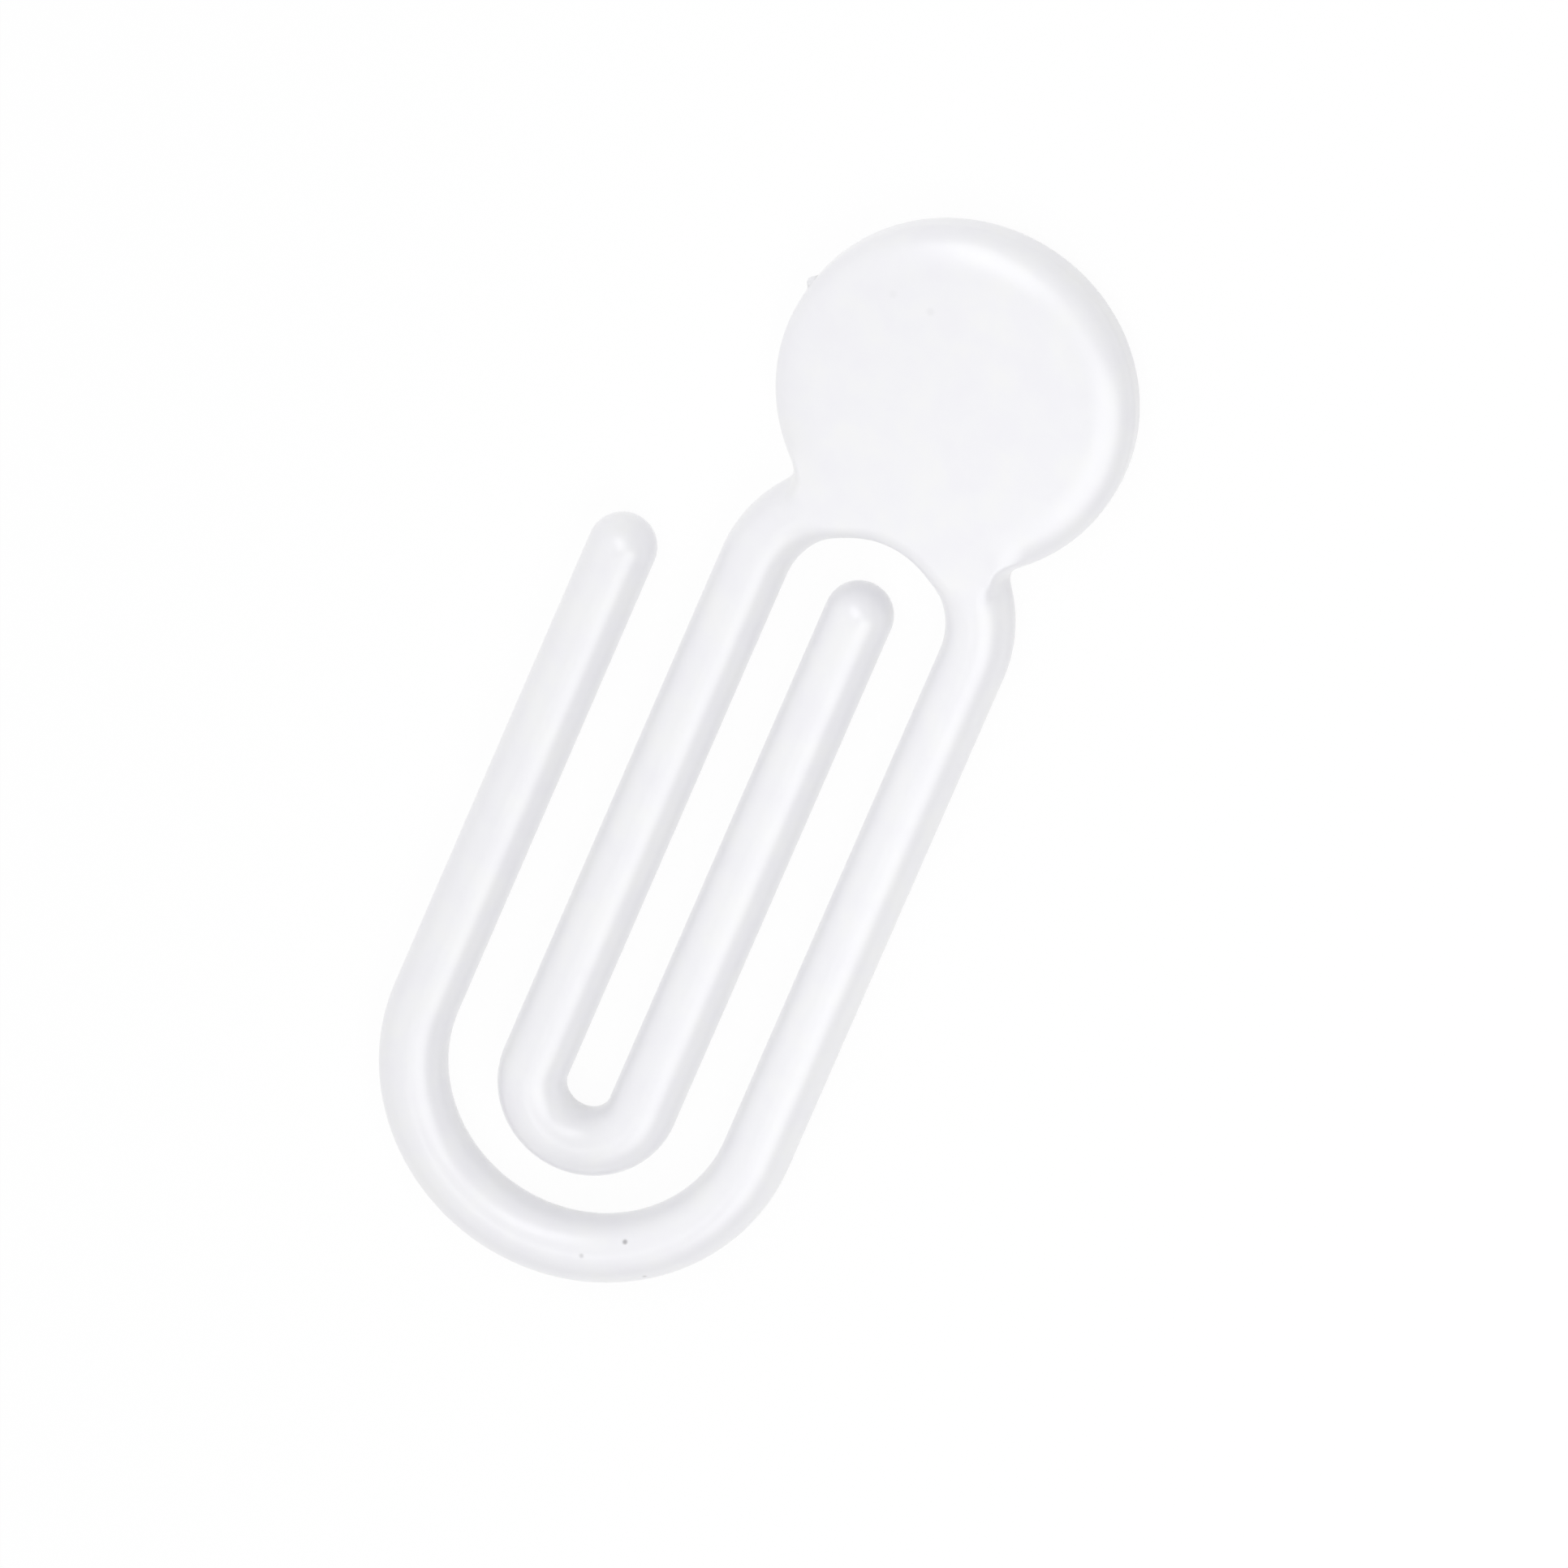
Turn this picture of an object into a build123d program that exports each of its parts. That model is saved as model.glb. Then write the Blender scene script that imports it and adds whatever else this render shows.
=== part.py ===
from build123d import *
import os

# One-piece moulded plastic paper clip with a round flat head, lying flat, in millimetres.
# The origin is on the disc's axis at its back face. +Y points from the loops to the head, +Z is the front.
# The clip is one moulding. It is cut square across the rod into the zones that stay stiff and the
# short zones at the roots of the legs that bend, so neighbours meet face to face.

# Driving dimensions: the rod and the clear gaps between its four parallel legs
rod_diameter = 3.4
free_leg_gap = 2.75     # free leg to inner leg
inner_leg_gap = 2.3     # inner leg to tongue
tongue_gap = 2.55       # tongue to right leg

# Driving dimensions: the lengths
right_leg_length = 28.2     # top bend's centre to outer bend's centre
free_leg_length = 25.9      # outer bend's centre to the centre of the round tip
bend_gap = 2.1              # inner bend's outside to outer bend's inside
tip_gap = 2.65              # tongue's tip to the top bend's inside
flexure_length = 8.0        # stretch of each leg, next to its root, that does the bending

# Driving dimensions: the head
disc_diameter = 17.8
loop_edge = 8.2         # disc's axis to the top of the loop opening
rim_width = 2.5         # width of the soft round-over, seen from the front
rim_drop = 1.35         # depth of the round-over on each face
head_proud = 0.05       # each face of the head stands this far above the rod's crown
neck_height = 1.1       # loop opening to the straight line where the disc meets the top bend
web_width = 5.2         # the flat web that carries the disc's faces on to the loop opening
web_lip = 0.1           # the web's edge covers the bent rod by this much at the loop opening
web_round = 0.6         # rounding of the web's edges at the loop opening

# Heights
rod_radius = rod_diameter / 2
head_thickness = rod_diameter + 2 * head_proud
rod_z = head_thickness / 2

# Bend radii on the rod's centre line, from the pitches of the legs
free_leg_pitch = rod_diameter + free_leg_gap
inner_leg_pitch = rod_diameter + inner_leg_gap
tongue_pitch = rod_diameter + tongue_gap
inner_bend_radius = inner_leg_pitch / 2
top_bend_radius = (inner_leg_pitch + tongue_pitch) / 2
outer_bend_radius = (free_leg_pitch + inner_leg_pitch + tongue_pitch) / 2

# Leg positions: the top bend is centred under the disc
right_leg_x = top_bend_radius
inner_leg_x = -top_bend_radius
tongue_x = inner_leg_x + inner_leg_pitch
free_leg_x = inner_leg_x - free_leg_pitch
outer_bend_x = right_leg_x - outer_bend_radius
inner_bend_x = inner_leg_x + inner_bend_radius

# Bend centres and tips along the clip
top_bend_y = -(loop_edge + top_bend_radius - rod_radius)
outer_bend_y = top_bend_y - right_leg_length
outer_bend_inside_y = outer_bend_y - outer_bend_radius + rod_radius
inner_bend_y = outer_bend_inside_y + bend_gap + rod_radius + inner_bend_radius
free_tip_y = outer_bend_y + free_leg_length
tongue_tip_y = -loop_edge - tip_gap - rod_radius

# Ends of the bending zones
upper_flexure_y = top_bend_y - flexure_length
free_flexure_y = outer_bend_y + flexure_length
tongue_flexure_y = inner_bend_y + flexure_length

# Head outline
disc_radius = disc_diameter / 2
neck_y = neck_height - loop_edge
opening_radius = top_bend_radius - rod_radius - web_lip
# size of a block or ring that takes in the whole head
head_reach = 2 * (disc_radius + top_bend_radius + rod_diameter)


def straight_rod(x, low_y, high_y):
    """Round rod along Y between two heights."""
    base = Plane(origin=(x, low_y, rod_z), z_dir=(0, 1, 0))
    return extrude(base * Circle(rod_radius), amount=high_y - low_y)


def tipped_rod(x, root_y, tip_y):
    """Round rod along Y from its root to a half-ball tip centred at tip_y."""
    length = tip_y - root_y
    outline = [
        Line((0, 0), (rod_radius, 0)),
        Line((rod_radius, 0), (rod_radius, length)),
        CenterArc((0, length), rod_radius, 0, 90),
        Line((0, length + rod_radius), (0, 0)),
    ]
    half = Pos(x, root_y, rod_z) * make_face(outline)
    return revolve(half, axis=Axis((x, root_y, rod_z), (0, 1, 0)))


def half_bend(x, y, radius, side):
    """Half ring of rod about (x, y): side 1 arches towards the head, side -1 away from it."""
    start = Plane(origin=(x + side * radius, y, rod_z), z_dir=(0, 1, 0))
    return revolve(start * Circle(rod_radius), axis=Axis((x, y, 0), (0, 0, 1)), revolution_arc=180)


def neck_block(side):
    """Block over the part of the head above (side 1) or below (side -1) the line of the neck."""
    return Pos(0, neck_y + side * head_reach / 2, rod_z) * Box(head_reach, head_reach, head_reach)


def disc():
    """Round head with flat faces and a soft round-over on both edges, cut along the line of the neck."""
    face_radius = disc_radius - rim_width
    upper = head_thickness - rim_drop
    # the round-over leaves the face level and reaches the rim's straight wall rim_drop below it
    over_radius = (rim_width**2 + rim_drop**2) / (2 * rim_drop)
    outline = [
        Line((0, 0), (face_radius, 0)),
        RadiusArc((face_radius, 0), (disc_radius, rim_drop), -over_radius),
        Line((disc_radius, rim_drop), (disc_radius, upper)),
        RadiusArc((disc_radius, upper), (face_radius, head_thickness), -over_radius),
        Line((face_radius, head_thickness), (0, head_thickness)),
        Line((0, head_thickness), (0, 0)),
    ]
    return revolve(Plane.XZ * make_face(outline), axis=Axis.Z) & neck_block(1)


def web():
    """Flat web from the line of the neck to the loop opening, with a small round on its edges there."""
    inner = opening_radius
    upper = head_thickness - web_round
    outline = [
        Line((inner + web_round, 0), (head_reach, 0)),
        Line((head_reach, 0), (head_reach, head_thickness)),
        Line((head_reach, head_thickness), (inner + web_round, head_thickness)),
        CenterArc((inner + web_round, upper), web_round, 90, 90),
        Line((inner, upper), (inner, web_round)),
        CenterArc((inner + web_round, web_round), web_round, 180, 90),
    ]
    round_opening = Pos(0, top_bend_y, 0) * revolve(Plane.XZ * make_face(outline), axis=Axis.Z)
    depth = neck_y - top_bend_y
    strip = Pos(0, neck_y - depth / 2, rod_z) * Box(web_width, depth, head_thickness)
    return strip & round_opening


def top_bend():
    """Bend under the head, cut along the line of the neck, with the web that joins it to the disc."""
    arch = half_bend(0, top_bend_y, top_bend_radius, 1) & neck_block(-1)
    return arch + web()


nodes = {
    "head_disc": disc(),
    "top_bend": top_bend(),
    "right_leg_flexure": straight_rod(right_leg_x, upper_flexure_y, top_bend_y),
    "right_leg": straight_rod(right_leg_x, outer_bend_y, upper_flexure_y),
    "outer_bend": half_bend(outer_bend_x, outer_bend_y, outer_bend_radius, -1),
    "free_leg_flexure": straight_rod(free_leg_x, outer_bend_y, free_flexure_y),
    "free_leg": tipped_rod(free_leg_x, free_flexure_y, free_tip_y),
    "inner_leg_flexure": straight_rod(inner_leg_x, upper_flexure_y, top_bend_y),
    "inner_leg": straight_rod(inner_leg_x, inner_bend_y, upper_flexure_y),
    "inner_bend": half_bend(inner_bend_x, inner_bend_y, inner_bend_radius, -1),
    "tongue_flexure": straight_rod(tongue_x, inner_bend_y, tongue_flexure_y),
    "tongue": tipped_rod(tongue_x, tongue_flexure_y, tongue_tip_y),
}

os.makedirs("parts", exist_ok=True)
for name, solid in nodes.items():
    export_step(solid, f"parts/{name}.step")

pivot_y = {
    "right leg and inner leg": top_bend_y - flexure_length / 2,
    "free leg": outer_bend_y + flexure_length / 2,
    "tongue": inner_bend_y + flexure_length / 2,
}
for leg, y in pivot_y.items():
    print(f"{leg}: bends about y {y:.3f}, z {rod_z:.3f}")
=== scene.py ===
import math

import bpy
import numpy as np
from mathutils import Matrix, Vector
from mathutils.geometry import delaunay_2d_cdt


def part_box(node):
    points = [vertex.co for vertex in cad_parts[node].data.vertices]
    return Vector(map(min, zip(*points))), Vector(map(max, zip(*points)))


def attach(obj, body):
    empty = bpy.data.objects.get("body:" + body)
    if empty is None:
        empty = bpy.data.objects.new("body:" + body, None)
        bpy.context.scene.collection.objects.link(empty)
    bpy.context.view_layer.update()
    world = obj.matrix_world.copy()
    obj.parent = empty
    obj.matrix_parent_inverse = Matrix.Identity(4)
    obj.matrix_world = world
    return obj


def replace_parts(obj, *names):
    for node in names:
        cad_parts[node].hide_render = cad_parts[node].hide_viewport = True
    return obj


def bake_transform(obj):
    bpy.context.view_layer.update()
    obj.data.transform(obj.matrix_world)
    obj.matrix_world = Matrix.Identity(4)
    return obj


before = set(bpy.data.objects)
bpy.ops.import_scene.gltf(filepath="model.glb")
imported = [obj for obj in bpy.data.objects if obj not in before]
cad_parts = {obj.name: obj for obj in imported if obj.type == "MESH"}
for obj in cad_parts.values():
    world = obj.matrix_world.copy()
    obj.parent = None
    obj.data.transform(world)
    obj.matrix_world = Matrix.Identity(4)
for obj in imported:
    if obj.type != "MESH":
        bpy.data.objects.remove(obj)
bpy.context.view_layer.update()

# White moulded paper clip with a round flat head.
# Meshes are worked out in millimetres about the rod's mid-plane, then placed in metres.
MM = 0.001


def box_mm(node):
    """Lowest and highest corner of a CAD node, in millimetres."""
    low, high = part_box(node)
    return np.array(low) / MM, np.array(high) / MM


# Sizes and places from the frame
disc_low, disc_high = box_mm("head_disc")
right_low, right_high = box_mm("right_leg")
right_root_low, right_root_high = box_mm("right_leg_flexure")
inner_low, inner_high = box_mm("inner_leg")
_, free_root_high = box_mm("free_leg_flexure")
free_low, free_high = box_mm("free_leg")
_, tongue_root_high = box_mm("tongue_flexure")
tongue_low, tongue_high = box_mm("tongue")

rod_radius = (right_high[0] - right_low[0]) / 2
mid_z = (right_high[2] + right_low[2]) / 2
face_height = disc_high[2] - mid_z
disc_radius = (disc_high[0] - disc_low[0]) / 2

right_x = (right_low[0] + right_high[0]) / 2
inner_x = (inner_low[0] + inner_high[0]) / 2
free_x = (free_low[0] + free_high[0]) / 2
tongue_x = (tongue_low[0] + tongue_high[0]) / 2

top_bend_y = right_root_high[1]
upper_flexure_y = right_root_low[1]
outer_bend_y = right_low[1]
inner_bend_y = inner_low[1]
free_flexure_y = free_root_high[1]
tongue_flexure_y = tongue_root_high[1]
free_tip_y = free_high[1] - rod_radius
tongue_tip_y = tongue_high[1] - rod_radius

top_bend_radius = (right_x - inner_x) / 2
outer_bend_radius = (right_x - free_x) / 2
inner_bend_radius = (tongue_x - inner_x) / 2
arch_inside = top_bend_radius - rod_radius
arch_outside = top_bend_radius + rod_radius

# Forms of the head, in millimetres and degrees
rim_width = 2.5         # soft round-over, seen from the front
rim_drop = 1.35         # its depth on each face
web_end = (15.0, 40.0)  # where the flat web ends down the arch, from level: at the opening, outside
web_edge = (3.9, 0.5)   # width of its soft edge across the arms, at the same two places
web_shoulder = 0.5      # width of its soft edge along the notches
web_fade = (7.2, 9.6)   # distances from the arch's centre between which it melts into the disc's rim
web_round = 1.0         # rounding of the web at the loop opening
neck_fillet = 1.1       # softness of the notches between disc and arch
nub_angle = 166.0       # trace of the moulding gate on the disc's edge
nub_radius = 0.28
nub_soft = nub_radius / 2

# Fineness of the meshes
rod_sides = 128
run_step = 0.5
arc_step = math.radians(3.0)
tip_rings = 16
rim_rows = 24
outline_step = 0.18
fill_step = 0.17
fill_clear = 0.6        # share of fill_step that stays free along the edge of the face
merge_gap = 1e-7        # points closer than this count as one
halvings = 40           # steps of the search for the head's surface
nudge = 1e-3            # small move that shows a field's slope
tiny = 1e-6             # keeps a division away from zero
# the head's rim rows step round like the rod's sides, so that the arms' ends match the rods
ring_step = 2 * math.pi / rod_sides
rim_turn = rim_rows * ring_step
rim_depth = rod_radius * (1 - math.cos(rim_turn))


# Mesh helpers

def add_piece(name, points, faces, normals, caps):
    """Closed smooth mesh from points in mm about the mid-plane. Caps are flat faces, shaded flat."""
    mesh = bpy.data.meshes.new(name)
    placed = (points + [0, 0, mid_z]) * MM
    mesh.from_pydata(placed.tolist(), [], faces + caps)
    mesh.polygons.foreach_set("use_smooth", [True] * len(mesh.polygons))
    corner = np.zeros(len(mesh.loops), int)
    mesh.loops.foreach_get("vertex_index", corner)
    corner_normals = normals[corner]
    for polygon in mesh.polygons[len(faces):]:
        corner_normals[list(polygon.loop_indices)] = polygon.normal
    mesh.normals_split_custom_set(corner_normals.tolist())
    piece = bpy.data.objects.new(name, mesh)
    bpy.context.collection.objects.link(piece)
    mesh.materials.append(plastic)
    return piece


def straight(x, start_y, end_y):
    """Stations (x, y, heading) along a straight leg."""
    count = max(2, round(abs(end_y - start_y) / run_step) + 1)
    heading = math.copysign(math.pi / 2, end_y - start_y)
    return [(x, y, heading) for y in np.linspace(start_y, end_y, count)]


def half_turn(x, y, radius, start, way):
    """Stations round half a ring, from the angle start, way 1 counter-clockwise or -1 clockwise."""
    count = round(math.pi / arc_step) + 1
    angles = start + way * np.linspace(0, math.pi, count)
    return [(x + radius * math.cos(a), y + radius * math.sin(a), a + way * math.pi / 2) for a in angles]


def rod(name, stations, tipped=False):
    """Round rod along the stations with flat ends, or with a half-ball on the last one."""
    rings = [(x, y, heading, 1.0, 0.0) for x, y, heading in stations]
    if tipped:
        x, y, heading = stations[-1]
        for k in range(1, tip_rings):
            lean = math.pi / 2 * k / tip_rings
            ahead = rod_radius * math.sin(lean)
            rings.append((x + ahead * math.cos(heading), y + ahead * math.sin(heading), heading,
                          math.cos(lean), math.sin(lean)))
    around = np.linspace(0, 2 * math.pi, rod_sides, endpoint=False)
    points, normals = [], []
    for x, y, heading, size, lean in rings:
        side = np.array([-math.sin(heading), math.cos(heading), 0])
        ahead = np.array([math.cos(heading), math.sin(heading), 0])
        out = np.outer(np.cos(around), side) + np.outer(np.sin(around), [0, 0, 1])
        points.append(np.array([x, y, 0]) + out * rod_radius * size)
        normals.append(out * size + ahead * lean)
    points, normals = np.concatenate(points), np.concatenate(normals)
    faces = []
    for ring in range(len(rings) - 1):
        for k in range(rod_sides):
            a, b = ring * rod_sides + k, ring * rod_sides + (k + 1) % rod_sides
            faces.append((a, b, b + rod_sides, a + rod_sides))
    last = (len(rings) - 1) * rod_sides
    caps = [tuple(range(rod_sides - 1, -1, -1))]
    if tipped:
        x, y, heading = stations[-1]
        ahead = np.array([math.cos(heading), math.sin(heading), 0])
        points = np.vstack([points, np.array([x, y, 0]) + ahead * rod_radius])
        normals = np.vstack([normals, ahead])
        pole = len(points) - 1
        faces += [(last + k, last + (k + 1) % rod_sides, pole) for k in range(rod_sides)]
    else:
        caps.append(tuple(range(last, last + rod_sides)))
    return add_piece(name, points, faces, normals, caps)


# Head: disc, arch and web melt together in one smooth surface, the zero level of a distance-like field

def soft_max(a, b, soft):
    """Larger of two fields, rounded where they cross."""
    lap = np.clip(soft - np.abs(a - b), 0, None)
    return np.maximum(a, b) + lap * lap / (4 * soft)


def soft_min(a, b, soft):
    """Smaller of two fields, rounded where they cross."""
    return -soft_max(-a, -b, soft)


def disc_field(x, y, z):
    """Flat disc with an elliptical round-over on both edges."""
    out = np.hypot(x, y) - (disc_radius - rim_width)
    up = np.abs(z) - (face_height - rim_drop)
    bulge = np.hypot(np.clip(out, 0, None) / rim_width, np.clip(up, 0, None) / rim_drop)
    slope = np.hypot(np.clip(out, 0, None) / rim_width**2, np.clip(up, 0, None) / rim_drop**2)
    rim = (bulge - 1) * bulge / np.maximum(slope, tiny)
    return np.where((out > 0) | (up > 0), rim, -rim_drop)


def arch_field(x, y, z):
    """Bent rod under the disc, running straight down below the bend's centre."""
    over = y > top_bend_y
    reach = np.where(over, np.hypot(x, y - top_bend_y), np.abs(x))
    return np.hypot(reach - top_bend_radius, z) - rod_radius


def ease(value):
    """Smooth step from 0 to 1."""
    share = np.clip(value, 0, 1)
    return share * share * (3 - 2 * share)


def web_share(x, y):
    """1 on the wedge that carries the disc's level faces over the top of the arch, 0 away from it."""
    reach = np.hypot(x, y - top_bend_y)
    sides = (arch_inside, arch_outside)
    turn = np.radians(np.interp(reach, sides, web_end))
    along = np.abs(x) * np.sin(turn) - (y - top_bend_y) * np.cos(turn)
    outside = soft_min(reach - arch_outside, np.hypot(x, y) - disc_radius, neck_fillet)
    edge = np.interp(reach, sides, web_edge)
    fade = (web_fade[1] - reach) / (web_fade[1] - web_fade[0])
    return ease(-along / edge) * ease(-outside / web_shoulder) * ease(fade)


def web_field(x, y, z):
    """Level faces, rounded off at the loop opening."""
    return soft_max(arch_inside - np.hypot(x, y - top_bend_y), np.abs(z) - face_height, web_round)


def nub_field(x, y, z):
    """Small ball on the disc's edge."""
    turn = math.radians(nub_angle)
    off_x = x - disc_radius * math.cos(turn)
    off_y = y - disc_radius * math.sin(turn)
    return np.sqrt(off_x**2 + off_y**2 + z * z) - nub_radius


def head_field(p):
    """Below zero inside the head, for an array of points."""
    x, y, z = p[..., 0], p[..., 1], p[..., 2]
    body = soft_min(disc_field(x, y, z), arch_field(x, y, z), neck_fillet)
    share = web_share(x, y)
    body = body * (1 - share) + web_field(x, y, z) * share
    body = soft_min(body, nub_field(x, y, z), nub_soft)
    return np.maximum(body, np.abs(z) - face_height)


def reach_surface(start, way, far):
    """Points where rays from inside the head meet its surface, by halving the interval."""
    near, far = np.zeros(len(start)), np.full(len(start), float(far))
    for _ in range(halvings):
        half = (near + far) / 2
        inside = head_field(start + way * half[:, None]) < 0
        near, far = np.where(inside, half, near), np.where(inside, far, half)
    return start + way * near[:, None]


def head_normals(points):
    """Outward normals of the field."""
    slopes = []
    for axis in np.eye(3):
        slopes.append(head_field(points + nudge * axis) - head_field(points - nudge * axis))
    normals = np.stack(slopes, -1)
    return normals / np.linalg.norm(normals, axis=1, keepdims=True)


def arc_points(centre, radius, start, end, inward):
    """Outline points and inward directions along an arc. Inward: -1 to the centre, 1 away from it."""
    count = max(3, round(abs(end - start) * radius / outline_step) + 1)
    angles = np.linspace(start, end, count)
    out = np.stack([np.cos(angles), np.sin(angles)], -1)
    return np.array(centre) + radius * out, inward * out


def join_chains(chains):
    """Several arcs as one chain, without the doubled points where they meet."""
    points = np.vstack([chains[0][0]] + [p[1:] for p, _ in chains[1:]])
    inward = np.vstack([chains[0][1]] + [n[1:] for _, n in chains[1:]])
    return points, inward


def outer_chain():
    """Outline from the right arm, up the arch, round the disc and down to the left arm."""
    # the fillet's centre stands off both circles by its own radius
    to_disc, to_arch = disc_radius + neck_fillet, arch_outside + neck_fillet
    drop = (to_disc**2 - to_arch**2 + top_bend_y**2) / (2 * top_bend_y)
    off = math.sqrt(to_disc**2 - drop**2)
    arch_turn = math.atan2(drop - top_bend_y, off)
    disc_turn = math.atan2(drop, off)
    arch, disc = (0, top_bend_y), (0, 0)
    return join_chains([
        arc_points(arch, arch_outside, 0, arch_turn, -1),
        arc_points((off, drop), neck_fillet, arch_turn + math.pi, disc_turn + math.pi, 1),
        arc_points(disc, disc_radius, disc_turn, math.pi - disc_turn, -1),
        arc_points((-off, drop), neck_fillet, -disc_turn, -arch_turn, 1),
        arc_points(arch, arch_outside, math.pi - arch_turn, math.pi, -1),
    ])


def rim_grid(chain):
    """Rows of points from the outline up over the rim, as far in as rim_depth."""
    outline, inward = chain
    base = np.column_stack([outline + inward * rim_depth, np.zeros(len(outline))])
    flat = np.column_stack([inward, np.zeros(len(inward))])
    rows = []
    for row in range(rim_rows + 1):
        turn = row * ring_step
        lift = math.atan2(math.sin(turn), math.cos(turn) - math.cos(rim_turn))
        way = -flat * math.cos(lift) + np.array([0, 0, 1]) * math.sin(lift)
        rows.append(reach_surface(base, way, 2 * rim_depth + face_height))
    return np.array(rows)


def fill_points(edge):
    """Evenly spread points well inside a closed plan outline."""
    low, high = edge.min(0), edge.max(0)
    row_step = fill_step * math.sqrt(3) / 2
    found = []
    for row, y in enumerate(np.arange(low[1], high[1], row_step)):
        shift = fill_step / 2 * (row % 2)
        found += [(x, y) for x in np.arange(low[0] + shift, high[0], fill_step)]
    found = np.array(found)
    nxt = np.roll(edge, -1, axis=0)
    inside = np.zeros(len(found), bool)
    nearest = np.full(len(found), np.inf)
    for a, b in zip(edge, nxt):
        crosses = (a[1] > found[:, 1]) != (b[1] > found[:, 1])
        if a[1] != b[1]:
            at = a[0] + (found[:, 1] - a[1]) * (b[0] - a[0]) / (b[1] - a[1])
            inside ^= crosses & (found[:, 0] < at)
        nearest = np.minimum(nearest, np.linalg.norm(found - a, axis=1))
    return found[inside & (nearest > fill_step * fill_clear)]


def head(name):
    """One closed mesh: rim rows, a filled face, the same mirrored below, and two flat arm ends."""
    outer = rim_grid(outer_chain())
    inner = rim_grid(arc_points((0, top_bend_y), arch_inside, math.pi, 0, 1))
    columns = [outer.shape[1], inner.shape[1]]
    # plan edge of the face: outer rim, across the left arm, round the opening, across the right arm
    turns = np.arange(rim_rows + 1, rod_sides // 2 - rim_rows) * ring_step
    across = np.column_stack([-rod_radius * np.cos(turns), np.full(len(turns), top_bend_y)])
    left_arm = across - [top_bend_radius, 0]
    right_arm = across + [top_bend_radius, 0]
    edge = np.vstack([outer[-1, :, :2], left_arm, inner[-1, :, :2], right_arm])
    plan = np.vstack([edge, fill_points(edge)])
    ring = [(k, (k + 1) % len(edge)) for k in range(len(edge))]
    inside_only = 1
    bounds = [list(range(len(edge)))]
    found = delaunay_2d_cdt([Vector(p) for p in plan], ring, bounds, inside_only, merge_gap)
    plan = np.array([tuple(v) for v in found[0]])
    triangles = [tuple(f) for f in found[2]]
    rise = np.tile([0.0, 0.0, 1.0], (len(plan), 1))
    face = reach_surface(np.column_stack([plan, np.zeros(len(plan))]), rise, 2 * face_height)

    # points: the rim rows below the face's edge, then the face
    rows = [outer[:-1].reshape(-1, 3), inner[:-1].reshape(-1, 3)]
    starts = [0, len(rows[0])]
    face_start = starts[1] + len(rows[1])
    points = np.vstack(rows + [face])
    edge_start = [face_start, face_start + columns[0] + len(left_arm)]

    def at(chain, row, column):
        if row == rim_rows:
            return edge_start[chain] + column
        return starts[chain] + row * columns[chain] + column

    upper = [tuple(face_start + k for k in t) for t in triangles]
    for chain in (0, 1):
        for row in range(rim_rows):
            for k in range(columns[chain] - 1):
                upper.append((at(chain, row, k), at(chain, row, k + 1),
                              at(chain, row + 1, k + 1), at(chain, row + 1, k)))
    # mirror below the mid-plane; the outline row is shared
    mirror = np.arange(len(points)) + len(points)
    for chain in (0, 1):
        first = starts[chain]
        mirror[first:first + columns[chain]] = np.arange(first, first + columns[chain])
    below = points * [1, 1, -1]
    lower = [tuple(int(mirror[k]) for k in reversed(f)) for f in upper]

    def arm_cap(outer_column, inner_column, across):
        """End of an arm: up the outer rim, across the face, down the inner rim, and back underneath."""
        top = [at(0, row, outer_column) for row in range(rim_rows + 1)] + across
        top += [at(1, row, inner_column) for row in range(rim_rows, -1, -1)]
        return top + [int(mirror[k]) for k in reversed(top[1:-1])]

    left_across = [face_start + columns[0] + k for k in range(len(left_arm))]
    right_first = face_start + columns[0] + len(left_arm) + columns[1]
    right_across = [right_first + k for k in range(len(right_arm) - 1, -1, -1)]
    caps = [
        tuple(reversed(arm_cap(columns[0] - 1, 0, left_across))),
        tuple(arm_cap(0, columns[1] - 1, right_across)),
    ]
    everything = np.vstack([points, below])
    used = sorted({k for f in upper + lower + caps for k in f})
    place = {k: n for n, k in enumerate(used)}
    faces = [tuple(place[k] for k in f) for f in upper + lower]
    caps = [tuple(place[k] for k in f) for f in caps]
    kept = everything[used]
    return add_piece(name, kept, faces, head_normals(kept), caps)


# Material

# cloudy tints: places on the noise, and colours from lilac to a warmer white
tints = [
    (0.34, (0.908, 0.904, 0.938)),
    (0.5, (0.918, 0.917, 0.943)),
    (0.66, (0.928, 0.928, 0.94)),
]
speck = (0.16, 0.15, 0.16)
smudge = (0.8, 0.8, 0.82)
# grain: scale per metre and detail of the noise behind the tint, the gloss and the ripple
tint_grain = (480, 4)
gloss_grain = (900, 3)
ripple_grain = (1400, 2)
roughness = (0.28, 0.4)     # between these by the gloss grain
specular_level = 0.5
coat_weight = 0.9
coat_roughness = 0.28
ripple_strength = 0.06
ripple_depth = 0.0001       # metres
# small marks: place and radius in millimetres, share of the radius at full strength, colour, strength
marks = [
    ((1.79, -47.07, 3.28), 0.19, 0.2, speck, 0.6),
    ((0.13, -48.66, 3.44), 0.18, 0.1, speck, 0.3),
    ((3.31, -48.48, 2.84), 0.18, 0.1, speck, 0.35),
    ((-2.7, 4.1, 3.5), 0.3, 0.2, smudge, 0.35),
    ((-4.7, 4.1, 3.5), 0.3, 0.2, smudge, 0.25),
    ((-2.3, -43.2, 3.4), 2.2, 0.1, smudge, 0.35),
]


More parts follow.
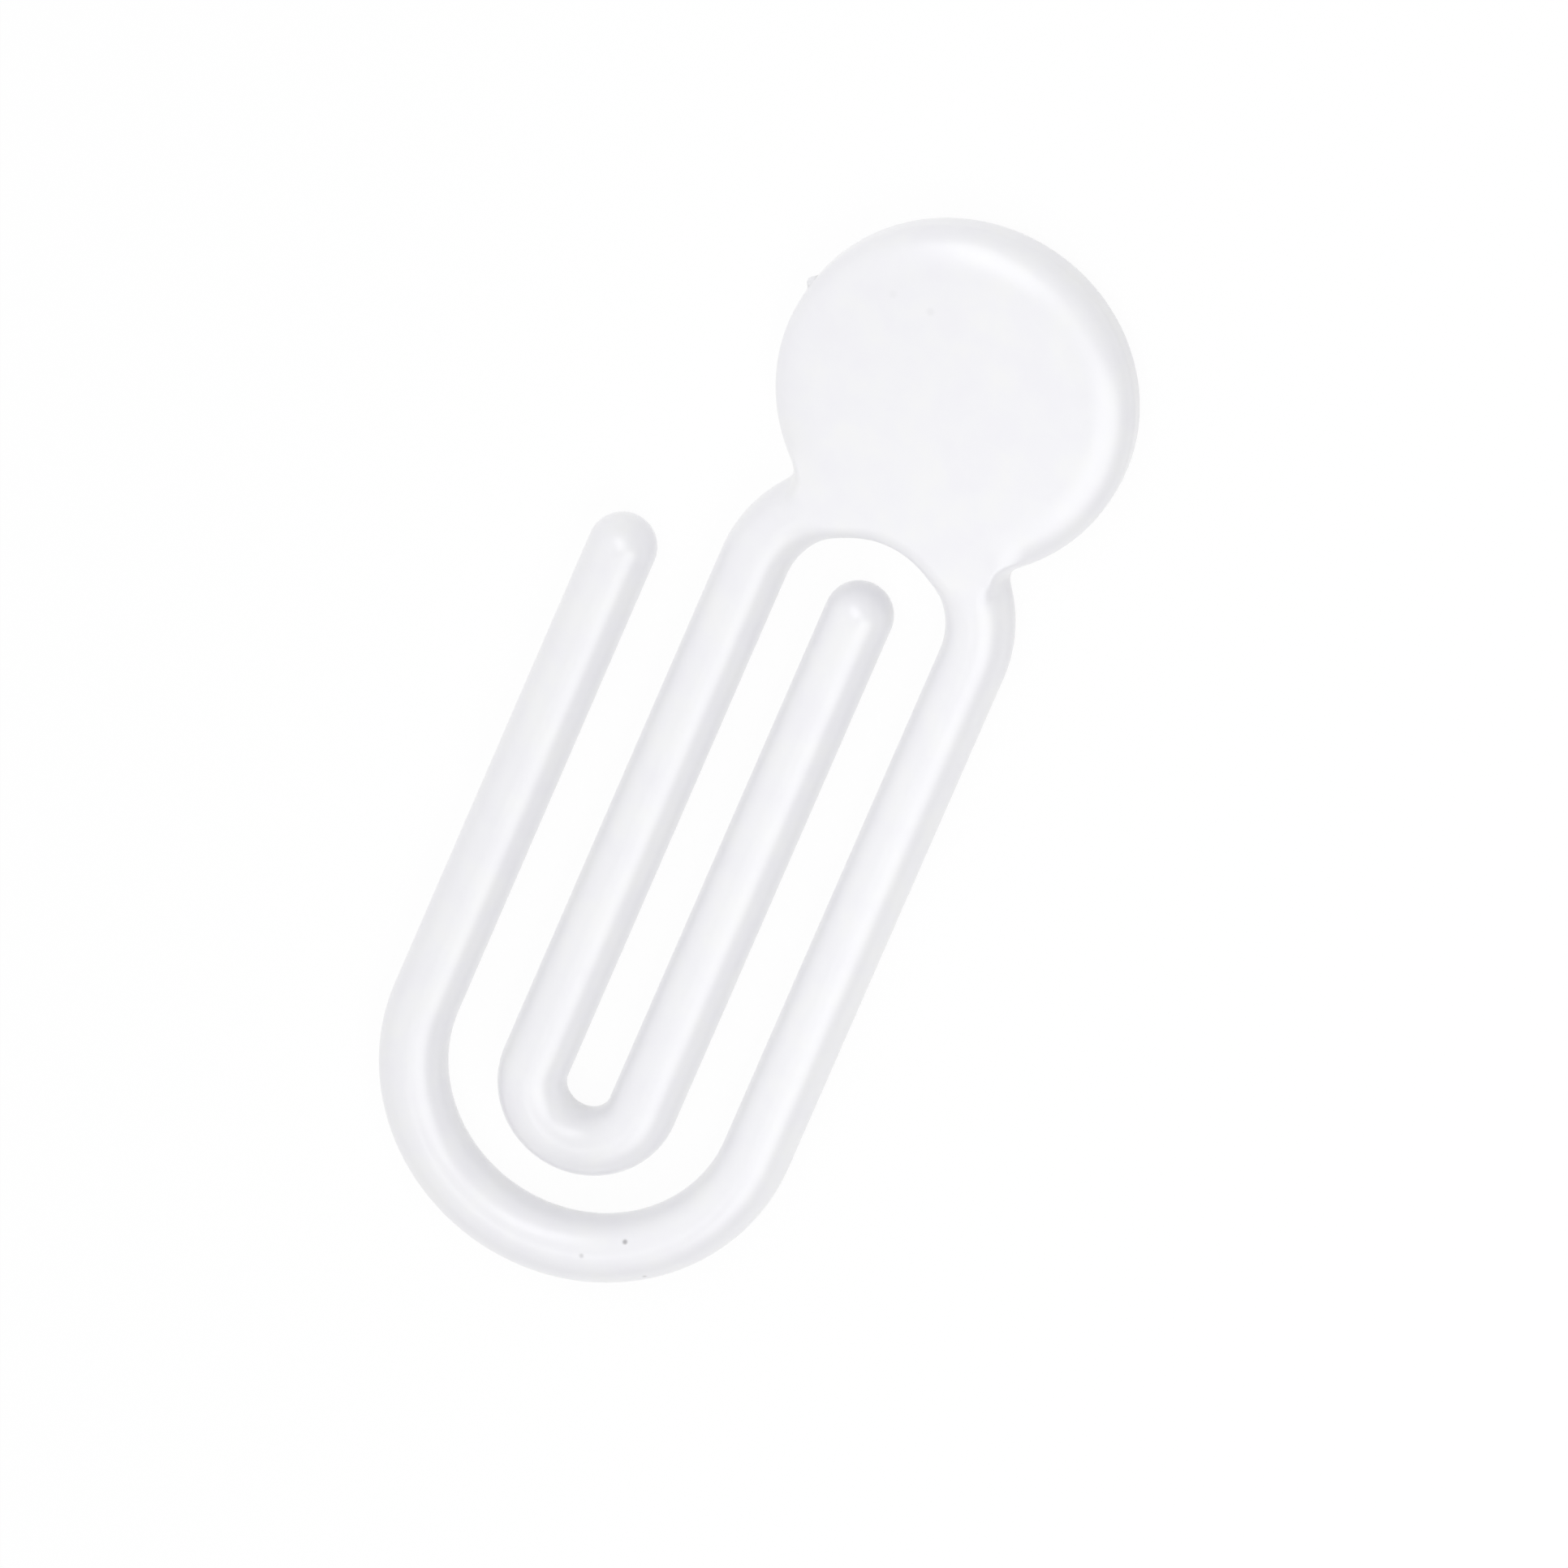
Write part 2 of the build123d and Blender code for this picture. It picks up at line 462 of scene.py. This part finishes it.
def moulded_plastic():
    """Satin white plastic: faint cloudy tint, a few specks, grain in the gloss, slight ripple."""
    material = bpy.data.materials.new("white_plastic")
    material.use_nodes = True
    nodes, links = material.node_tree.nodes, material.node_tree.links
    shader = nodes["Principled BSDF"]
    shader.inputs["Specular IOR Level"].default_value = specular_level
    shader.inputs["Coat Weight"].default_value = coat_weight
    shader.inputs["Coat Roughness"].default_value = coat_roughness
    place = nodes.new("ShaderNodeTexCoord")

    def noise(scale, detail):
        """Cloudy value fixed to the piece."""
        texture = nodes.new("ShaderNodeTexNoise")
        texture.inputs["Scale"].default_value = scale
        texture.inputs["Detail"].default_value = detail
        links.new(place.outputs["Object"], texture.inputs["Vector"])
        return texture.outputs["Fac"]

    def ramp(value, low, high):
        """A value from 0 to 1, laid out from low to high."""
        scale = nodes.new("ShaderNodeMapRange")
        scale.inputs["To Min"].default_value = low
        scale.inputs["To Max"].default_value = high
        links.new(value, scale.inputs["Value"])
        return scale.outputs["Result"]

    def near(spot, radius, core):
        """1 within a share core of the radius from a spot in millimetres, fading to 0 at the radius."""
        distance = nodes.new("ShaderNodeVectorMath")
        distance.operation = "DISTANCE"
        distance.inputs[1].default_value = Vector(spot) * MM
        links.new(place.outputs["Object"], distance.inputs[0])
        fade = nodes.new("ShaderNodeMapRange")
        fade.interpolation_type = "SMOOTHSTEP"
        fade.inputs["From Min"].default_value = radius * core * MM
        fade.inputs["From Max"].default_value = radius * MM
        fade.inputs["To Min"].default_value = 1
        fade.inputs["To Max"].default_value = 0
        links.new(distance.outputs["Value"], fade.inputs["Value"])
        return fade.outputs["Result"]

    def mixed(base, colour, share, most):
        """Base colour turned towards another by a share, at most by most."""
        mix = nodes.new("ShaderNodeMix")
        mix.data_type = "RGBA"
        links.new(ramp(share, 0, most), mix.inputs["Factor"])
        links.new(base, mix.inputs["A"])
        mix.inputs["B"].default_value = (*colour, 1)
        return mix.outputs["Result"]

    cloud = nodes.new("ShaderNodeValToRGB")
    cloud.color_ramp.elements.new(tints[1][0])
    for stop, (position, colour) in zip(cloud.color_ramp.elements, tints):
        stop.position = position
        stop.color = (*colour, 1)
    links.new(noise(*tint_grain), cloud.inputs["Fac"])
    colour = cloud.outputs["Color"]
    for spot, radius, core, stain, most in marks:
        colour = mixed(colour, stain, near(spot, radius, core), most)
    links.new(colour, shader.inputs["Base Color"])
    links.new(ramp(noise(*gloss_grain), *roughness), shader.inputs["Roughness"])
    bump = nodes.new("ShaderNodeBump")
    bump.inputs["Strength"].default_value = ripple_strength
    bump.inputs["Distance"].default_value = ripple_depth
    links.new(noise(*ripple_grain), bump.inputs["Height"])
    links.new(bump.outputs["Normal"], shader.inputs["Normal"])
    return material


def seen_directly(nodes, links):
    """1 for what the camera sees straight or in a mirror, 0 for light on its way to the clip."""
    path = nodes.new("ShaderNodeLightPath")
    total = path.outputs["Is Camera Ray"]
    for name in ("Is Glossy Ray", "Is Transmission Ray"):
        either = nodes.new("ShaderNodeMath")
        either.operation = "MAXIMUM"
        links.new(total, either.inputs[0])
        links.new(path.outputs[name], either.inputs[1])
        total = either.outputs[0]
    return total


def floor_material():
    """Pale floor that shows white in the picture and keeps a light shadow of the clip."""
    material = bpy.data.materials.new("floor")
    material.use_nodes = True
    nodes, links = material.node_tree.nodes, material.node_tree.links
    nodes.remove(nodes["Principled BSDF"])
    pale = nodes.new("ShaderNodeBsdfDiffuse")
    pale.inputs["Color"].default_value = floor_pale
    white = nodes.new("ShaderNodeBsdfDiffuse")
    white.inputs["Color"].default_value = (1, 1, 1, 1)
    glow = nodes.new("ShaderNodeEmission")
    glow.inputs["Strength"].default_value = 1.0
    shown = nodes.new("ShaderNodeMixShader")
    shown.inputs["Fac"].default_value = floor_glow
    links.new(white.outputs[0], shown.inputs[1])
    links.new(glow.outputs[0], shown.inputs[2])
    choose = nodes.new("ShaderNodeMixShader")
    links.new(seen_directly(nodes, links), choose.inputs["Fac"])
    links.new(pale.outputs[0], choose.inputs[1])
    links.new(shown.outputs[0], choose.inputs[2])
    links.new(choose.outputs[0], nodes["Material Output"].inputs["Surface"])
    return material


# Camera and light

# the photo's frame, in its own pixels and the clip's millimetres
photo_size = 1932
mm_per_pixel = 0.03931
roll = math.radians(24.58)          # the clip leans this far to the right in the photo
tilt = math.radians(23.55)          # line of sight from straight above
tilt_turn = math.radians(54.73)     # which way it leans in the photo, above the picture's right
anchor_pixel = (870, 1000)          # where the anchor point shows in the photo
anchor_point = (-3.108, -25.33)     # on the mid-plane of the clip
camera_distance = 2.0               # metres, far enough to see the clip as good as in parallel

# light levels, where 1 shows a white surface as white
world_way = (-0.97, 0.24, 0)    # towards the bright side of the surroundings
world_bright = 0.9
world_dim = 0.21
key_level = 1.84
floor_glow = 0.95       # share of the floor's look that no shadow reaches
floor_pale = (0.95, 0.95, 0.95, 1)
floor_half = 0.5        # metres
# softboxes that face down: place in millimetres, turn in degrees, sides in millimetres
softboxes = [
    ("key", (135, -85, 172), 0, (170, 240)),   # to the right of the clip
    ("low", (8, -101, 172), 0, (90, 28)),      # seen in the legs
    ("top", (-45, 82, 172), -35, (160, 92)),   # beyond the head
]


def add_camera():
    """Long-lens view at the photo's tilt and roll."""
    turn = tilt_turn + roll
    lean = Vector((math.cos(turn), math.sin(turn), 0))
    across = Vector((-math.sin(turn), math.cos(turn), 0))
    up_axis = Vector((0, 0, 1))
    back = lean * math.sin(tilt) + up_axis * math.cos(tilt)
    sloped = lean * math.cos(tilt) - up_axis * math.sin(tilt)
    right = sloped * math.cos(tilt_turn) - across * math.sin(tilt_turn)
    up = sloped * math.sin(tilt_turn) + across * math.cos(tilt_turn)
    shift_right = (photo_size / 2 - anchor_pixel[0]) * mm_per_pixel * MM
    shift_up = (anchor_pixel[1] - photo_size / 2) * mm_per_pixel * MM
    aim = Vector((*anchor_point, mid_z)) * MM + right * shift_right + up * shift_up
    data = bpy.data.cameras.new("camera")
    data.lens = data.sensor_width * camera_distance / (photo_size * mm_per_pixel * MM)
    camera = bpy.data.objects.new("camera", data)
    bpy.context.collection.objects.link(camera)
    turned = Matrix((right, up, back)).transposed().to_4x4()
    camera.matrix_world = Matrix.Translation(aim + back * camera_distance) @ turned
    bpy.context.scene.camera = camera


def softbox(name, place, turn, size, level):
    """Oblong soft light at a place in millimetres, facing straight down, as bright as its level."""
    data = bpy.data.lights.new(name, "AREA")
    data.shape = "RECTANGLE"
    data.size, data.size_y = [side * MM for side in size]
    data.energy = level * math.pi * data.size * data.size_y
    light = bpy.data.objects.new(name, data)
    bpy.context.collection.objects.link(light)
    light.location = Vector(place) * MM
    light.rotation_euler = (0, 0, math.radians(turn))


def add_world():
    """Soft white surroundings, brighter on the left of the clip and beyond its head."""
    world = bpy.data.worlds.new("studio")
    bpy.context.scene.world = world
    world.use_nodes = True
    nodes, links = world.node_tree.nodes, world.node_tree.links
    shine = nodes["Background"]
    shine.inputs["Color"].default_value = (1, 1, 1, 1)
    way = nodes.new("ShaderNodeTexCoord")
    along = nodes.new("ShaderNodeVectorMath")
    along.operation = "DOT_PRODUCT"
    along.inputs[1].default_value = world_way
    level = nodes.new("ShaderNodeMapRange")
    level.inputs["From Min"].default_value = -1.0
    level.inputs["From Max"].default_value = 1.0
    level.inputs["To Min"].default_value = world_dim
    level.inputs["To Max"].default_value = world_bright
    links.new(way.outputs["Generated"], along.inputs[0])
    links.new(along.outputs["Value"], level.inputs["Value"])
    links.new(level.outputs["Result"], shine.inputs["Strength"])


def add_light():
    """Soft surroundings, and the softboxes above."""
    add_world()
    for name, place, turn, size in softboxes:
        softbox(name, place, turn, size, key_level)


def add_floor():
    """Plain pale floor under the clip."""
    mesh = bpy.data.meshes.new("floor")
    corners = [(x * floor_half, y * floor_half, 0) for x, y in ((-1, -1), (1, -1), (1, 1), (-1, 1))]
    mesh.from_pydata(corners, [], [(0, 1, 2, 3)])
    mesh.materials.append(floor_material())
    floor = bpy.data.objects.new("floor", mesh)
    bpy.context.collection.objects.link(floor)


plastic = moulded_plastic()

# Stiff zones ride on their bodies
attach(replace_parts(head("clip_head"), "head_disc", "top_bend"), "head")

outer_x = (right_x + free_x) / 2
outer_run = straight(right_x, upper_flexure_y, outer_bend_y)
outer_run += half_turn(outer_x, outer_bend_y, outer_bend_radius, 0, -1)[1:]
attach(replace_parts(rod("clip_outer_loop", outer_run), "right_leg", "outer_bend"), "outer_loop")

loop_x = (inner_x + tongue_x) / 2
inner_run = straight(inner_x, upper_flexure_y, inner_bend_y)
inner_run += half_turn(loop_x, inner_bend_y, inner_bend_radius, math.pi, 1)[1:]
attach(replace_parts(rod("clip_inner_loop", inner_run), "inner_leg", "inner_bend"), "inner_loop")

free_run = straight(free_x, free_flexure_y, free_tip_y)
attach(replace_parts(rod("clip_free_leg", free_run, True), "free_leg"), "free_leg")
tongue_run = straight(tongue_x, tongue_flexure_y, tongue_tip_y)
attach(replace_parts(rod("clip_tongue", tongue_run, True), "tongue"), "tongue")

# Bending zones: a straight rod for each, its placement baked into the mesh
bends = [
    ("right_leg_flexure", right_x, top_bend_y, upper_flexure_y, "head", "outer_loop"),
    ("free_leg_flexure", free_x, outer_bend_y, free_flexure_y, "outer_loop", "free_leg"),
    ("inner_leg_flexure", inner_x, top_bend_y, upper_flexure_y, "head", "inner_loop"),
    ("tongue_flexure", tongue_x, inner_bend_y, tongue_flexure_y, "inner_loop", "tongue"),
]
for node, leg_x, start_y, end_y, body, moving in bends:
    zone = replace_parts(rod("clip_" + node, straight(leg_x, start_y, end_y)), node)
    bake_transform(zone)

add_floor()
add_light()
add_camera()
bpy.context.scene.view_settings.view_transform = "Standard"
